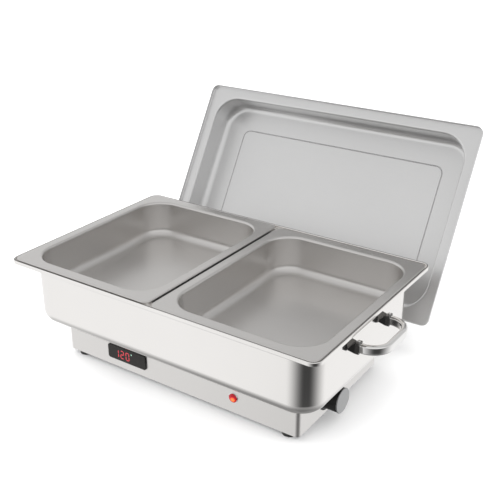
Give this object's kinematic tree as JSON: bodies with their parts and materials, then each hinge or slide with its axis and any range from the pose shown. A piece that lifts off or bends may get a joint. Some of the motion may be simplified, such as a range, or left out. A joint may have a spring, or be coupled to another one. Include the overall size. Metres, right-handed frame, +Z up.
{
  "type": "electric buffet server",
  "caption": "Electric buffet server: heated base box with display, lamp and knob, steel water tub, two lift-out food pans and a lid parked behind it.",
  "frame": {"origin": "on the table, midway between the four rubber feet, under the middle of the water tub", "axes": "+X along the length, towards the end with the knob; -Y towards the front with the display; +Z up"},
  "size_m": [0.618, 0.5754, 0.3504],
  "materials": {
    "tub_steel": "bright polished stainless steel",
    "base_steel": "bright stainless steel",
    "pan_steel": "satin stainless steel",
    "lid_steel": "satin stainless steel",
    "handle_chrome": "polished",
    "bracket_steel": "dark polished",
    "zinc_steel": "zinc plated",
    "galvanised_sheet": "galvanised sheet",
    "aluminium_sheet": "rolled sheet",
    "element_sheath": "heat-darkened sheath",
    "copper": "copper capillary",
    "brass": "turned brass",
    "foot_rubber": "black",
    "seal_rubber": "dark grey",
    "knob_black": "fine satin black",
    "knob_grey": "satin grey disc",
    "frame_black": "gloss black",
    "window_black": "smoked window",
    "digit_red": "lit red",
    "mark_green": "lit pale green",
    "board_green": "lacquered board",
    "lens_red": "clear red lens",
    "lamp_white": "lamp body",
    "thermostat_cream": "moulded",
    "block_ceramic": "glazed terminal block",
    "wire_red": "silicone wire",
    "gland_black": "moulded gland"
  },
  "bodies": {
    "server": {"water_tub": "tub_steel", "base_shell": "base_steel", "base_plate": "galvanised_sheet", "rubber_feet": "foot_rubber", "foot_screws": "zinc_steel", "foot_nuts": "zinc_steel", "tub_studs": "zinc_steel", "tub_nuts": "zinc_steel", "spreader_plate": "aluminium_sheet", "heating_element": "element_sheath", "element_straps": "galvanised_sheet", "strap_screws": "zinc_steel", "heat_shield": "galvanised_sheet", "shield_posts": "zinc_steel", "thermostat_body": "thermostat_cream", "thermostat_nut": "zinc_steel", "thermostat_bulb": "copper", "bulb_clips": "galvanised_sheet", "capillary_tube": "copper", "thermal_cutout": "block_ceramic", "dial_flange": "knob_black", "display_frame": "frame_black", "display_window": "window_black", "display_digits": "digit_red", "degree_mark": "mark_green", "display_board": "board_green", "lamp_bezel": "handle_chrome", "lamp_lens": "lens_red", "lamp_body": "lamp_white", "lamp_clip": "zinc_steel", "terminal_block": "block_ceramic", "earth_stud": "brass", "internal_wiring": "wire_red", "gland_body": "gland_black", "gland_locknut": "gland_black", "gland_seal": "seal_rubber", "gland_cap": "gland_black", "handle_left": "handle_chrome", "handle_right": "handle_chrome", "handle_brackets_left": "bracket_steel", "handle_brackets_right": "bracket_steel", "handle_pins_left": "handle_chrome", "handle_pins_right": "handle_chrome", "lid_rest_left": "base_steel", "lid_rest_right": "base_steel"},
    "lid": {"lid_shell": "lid_steel", "lid_handle": "handle_chrome", "lid_handle_feet": "bracket_steel", "lid_handle_pins": "handle_chrome"},
    "left_pan": {"food_pan_left": "pan_steel"},
    "right_pan": {"food_pan_right": "pan_steel"},
    "knob": {"knob_body": "knob_black", "knob_cap": "knob_grey", "thermostat_spindle": "zinc_steel"}
  },
  "joints": [
    {"name": "lid_lift", "type": "slide", "parent": "server", "child": "lid", "axis": [0, 0.515, 0.8572], "range_m": [0, 0.36]},
    {"name": "left_pan_lift", "type": "slide", "parent": "server", "child": "left_pan", "axis": [0, 0, 1], "range_m": [0, 0.13]},
    {"name": "right_pan_lift", "type": "slide", "parent": "server", "child": "right_pan", "axis": [0, 0, 1], "range_m": [0, 0.13]},
    {"name": "knob_turn", "type": "hinge", "parent": "server", "child": "knob", "pos_m": [0.235, -0.042, 0.037], "axis": [1, 0, 0], "range_deg": [0, 270]}
  ]
}
